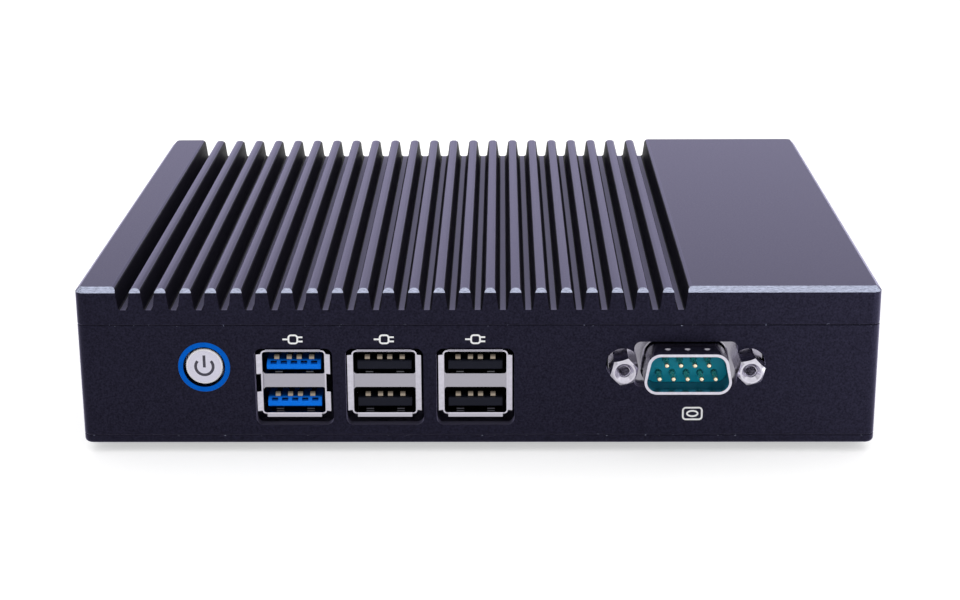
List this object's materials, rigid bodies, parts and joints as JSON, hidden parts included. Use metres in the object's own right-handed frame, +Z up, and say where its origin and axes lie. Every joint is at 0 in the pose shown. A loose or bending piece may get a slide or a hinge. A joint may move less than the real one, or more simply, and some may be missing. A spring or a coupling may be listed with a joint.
{
  "type": "fanless mini pc",
  "caption": "Small flat fanless computer in a dark metal housing, finned lid on top, lit power button, stacked plug sockets and a serial connector on the front.",
  "frame": {"origin": "middle of the footprint, on the surface that the rubber feet stand on", "axes": "+Z up, +X to the right seen from the front, -Y out of the front panel with the power button"},
  "size_m": [0.16, 0.1346, 0.035],
  "materials": {
    "dark_anodised_aluminium": "fine bead-blasted, black violet anodised, bright milled bevels",
    "black_rubber": "matt moulded",
    "dark_screw_steel": "black oxide",
    "board_laminate": "green solder mask on glass laminate",
    "chip_package": "moulded chip package",
    "bare_aluminium": "milled",
    "soft_pad": "soft heat-conducting sheet",
    "black_plastic": "moulded, satin",
    "standoff_brass": "turned",
    "cell_steel": "pressed can",
    "silver_button": "satin silver",
    "blue_light_ring": "translucent blue light guide, lit",
    "led_body": "clear resin",
    "blue_plastic": "moulded, satin",
    "contact_gold": "gold plated",
    "bright_nickel": "bright nickel plated",
    "teal_plastic": "moulded, satin"
  },
  "bodies": {
    "housing": {"board_screws": "dark_screw_steel", "board_spacers": "standoff_brass", "bottom_cover": "dark_anodised_aluminium", "bracket_bushes": "bright_nickel", "chassis_frame": "dark_anodised_aluminium", "coin_cell": "cell_steel", "coin_cell_holder": "black_plastic", "corner_posts": "bare_aluminium", "cover_screws": "dark_screw_steel", "dc_jack_body": "black_plastic", "dc_jack_pin": "bright_nickel", "fast_usb_contacts": "contact_gold", "fast_usb_insulator": "blue_plastic", "fast_usb_sleeve": "bright_nickel", "heat_block": "bare_aluminium", "lan_a_can": "bright_nickel", "lan_a_contacts": "contact_gold", "lan_a_insulator": "black_plastic", "lan_b_can": "bright_nickel", "lan_b_contacts": "contact_gold", "lan_b_insulator": "black_plastic", "lid_screws": "dark_screw_steel", "light_ring": "blue_light_ring", "mainboard": "board_laminate", "memory_card": "board_laminate", "memory_socket": "black_plastic", "memory_standoffs": "standoff_brass", "processor": "chip_package", "ring_leds": "led_body", "rubber_feet": "black_rubber", "serial_board": "board_laminate", "serial_insulator": "teal_plastic", "serial_jackscrews": "bright_nickel", "serial_pins": "contact_gold", "serial_sleeve": "bright_nickel", "storage_card": "board_laminate", "storage_socket": "black_plastic", "storage_standoffs": "standoff_brass", "switch_body": "black_plastic", "thermal_pad": "soft_pad", "top_heatsink": "dark_anodised_aluminium", "usb_a_contacts": "contact_gold", "usb_a_insulator": "black_plastic", "usb_a_sleeve": "bright_nickel", "usb_b_contacts": "contact_gold", "usb_b_insulator": "black_plastic", "usb_b_sleeve": "bright_nickel", "video_insulator": "black_plastic", "video_sleeve": "bright_nickel"},
    "button": {"power_button_cap": "silver_button", "switch_plunger": "black_plastic"}
  },
  "joints": [
    {"name": "power_button_press", "type": "slide", "parent": "housing", "child": "button", "axis": [0, 1, 0], "range_m": [0, 0.0006], "stiffness_N_per_m": 600}
  ]
}
